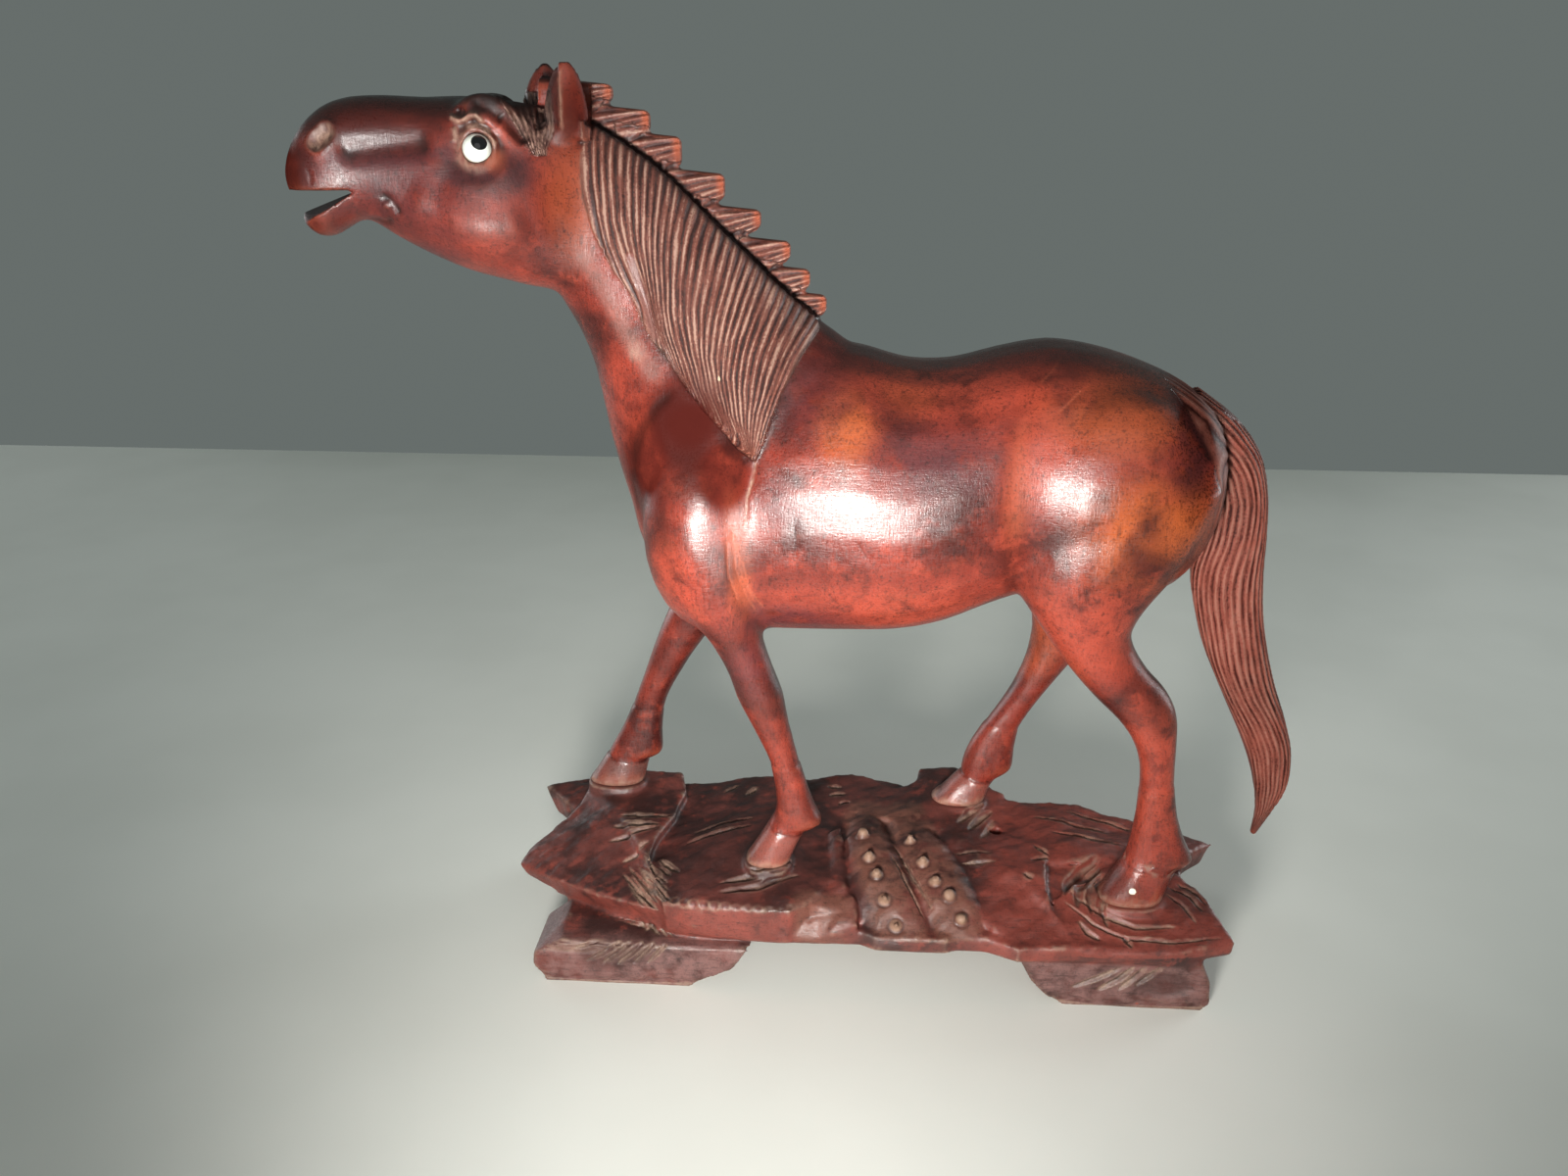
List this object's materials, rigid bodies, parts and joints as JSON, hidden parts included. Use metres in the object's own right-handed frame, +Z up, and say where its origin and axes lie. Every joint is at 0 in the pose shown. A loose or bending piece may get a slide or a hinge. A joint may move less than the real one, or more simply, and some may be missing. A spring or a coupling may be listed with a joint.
{
  "type": "carved horse figurine on stand",
  "caption": "Stained wooden horse carved in full round with glass eyes, striding with its mouth open, on its carved rock-like stand with corner feet.",
  "frame": {"origin": "middle of the whole object's box in plan, on the surface that the stand's feet rest on", "axes": "+Z up; the horse looks along -X and its left side faces -Y"},
  "size_m": [0.1742, 0.047, 0.1618],
  "materials": {
    "stained_wood": "glossy lacquer over reddish brown stain",
    "dark_stained_wood": "satin lacquer over dark stain, with pale tool cuts",
    "white_glass": "polished, opaque white with a black pupil"
  },
  "bodies": {
    "root": {"horse": "stained_wood", "stand": "dark_stained_wood", "left_eye": "white_glass", "right_eye": "white_glass"}
  },
  "joints": []
}
